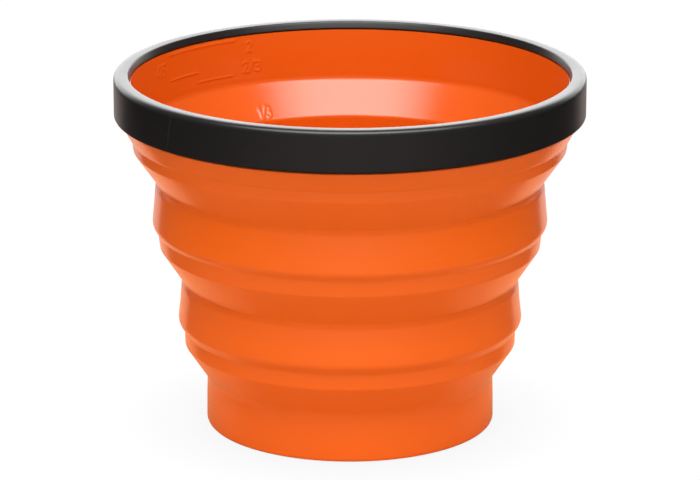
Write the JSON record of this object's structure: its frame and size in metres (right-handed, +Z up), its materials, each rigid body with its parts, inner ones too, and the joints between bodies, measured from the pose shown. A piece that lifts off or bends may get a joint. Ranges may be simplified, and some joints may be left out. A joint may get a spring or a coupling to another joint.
{
  "type": "collapsible cup",
  "caption": "Collapsible drinking cup: a stepped silicone wall in three folding webs under a stiff round rim, pressed flat for packing.",
  "frame": {"origin": "centre of the circle the cup stands on, level with the surface under it", "axes": "+Z up along the axis the cup is turned about; +X and +Y are level and interchangeable"},
  "size_m": [0.115, 0.115, 0.0882],
  "materials": {
    "silicone": "satin",
    "nylon": "satin"
  },
  "bodies": {
    "base": {"base_cup": "silicone", "lower_fold_web": "silicone"},
    "lower_band": {"lower_wall_band": "silicone", "middle_fold_web": "silicone"},
    "upper_band": {"upper_wall_band": "silicone", "upper_fold_web": "silicone"},
    "rim": {"rim_ring": "nylon", "silicone_collar": "silicone"}
  },
  "joints": [
    {"name": "lower_fold", "type": "slide", "parent": "base", "child": "lower_band", "axis": [0, 0, -1], "range_m": [0, 0.0233], "deforming": ["lower_fold_web"]},
    {"name": "middle_fold", "type": "slide", "parent": "lower_band", "child": "upper_band", "axis": [0, 0, -1], "range_m": [0, 0.0251], "deforming": ["middle_fold_web"]},
    {"name": "upper_fold", "type": "slide", "parent": "upper_band", "child": "rim", "axis": [0, 0, -1], "range_m": [0, 0.0239], "deforming": ["upper_fold_web"]}
  ]
}
